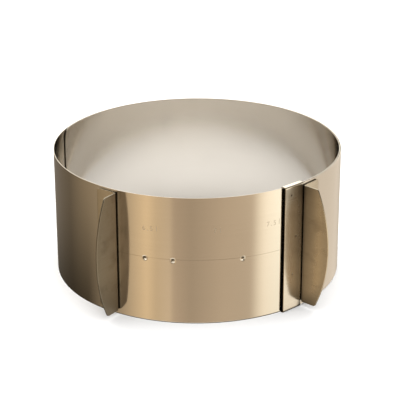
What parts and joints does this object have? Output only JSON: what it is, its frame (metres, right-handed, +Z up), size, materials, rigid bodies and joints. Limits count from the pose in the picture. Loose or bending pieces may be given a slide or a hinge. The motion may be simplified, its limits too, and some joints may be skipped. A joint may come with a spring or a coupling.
{
  "type": "adjustable cake ring",
  "caption": "Round sheet-steel cake ring of adjustable diameter: an overlapping springy strip with an inch scale, a hooked guide sleeve and bowed squeeze handles.",
  "frame": {"origin": "on the ring's axis, at the level that the ring stands on", "axes": "+Z up along the ring's axis; -Y towards the front, midway between the two handles or nearly so"},
  "size_m": [0.1919, 0.1952, 0.0864],
  "materials": {
    "band_steel": "bright cold-rolled spring steel with fine vertical reflections",
    "sleeve_steel": "bright cold-rolled sheet",
    "handle_steel": "satin sheet, spot-welded"
  },
  "bodies": {
    "ring": {"band": "band_steel", "fixed_handle": "handle_steel"},
    "slider": {"guide_sleeve": "sleeve_steel", "sliding_handle": "handle_steel"}
  },
  "joints": [
    {"name": "diameter_slide", "type": "hinge", "parent": "ring", "child": "slider", "pos_m": [0, 0, 0], "axis": [0, 0, 1], "range_deg": [-49, 103]}
  ]
}
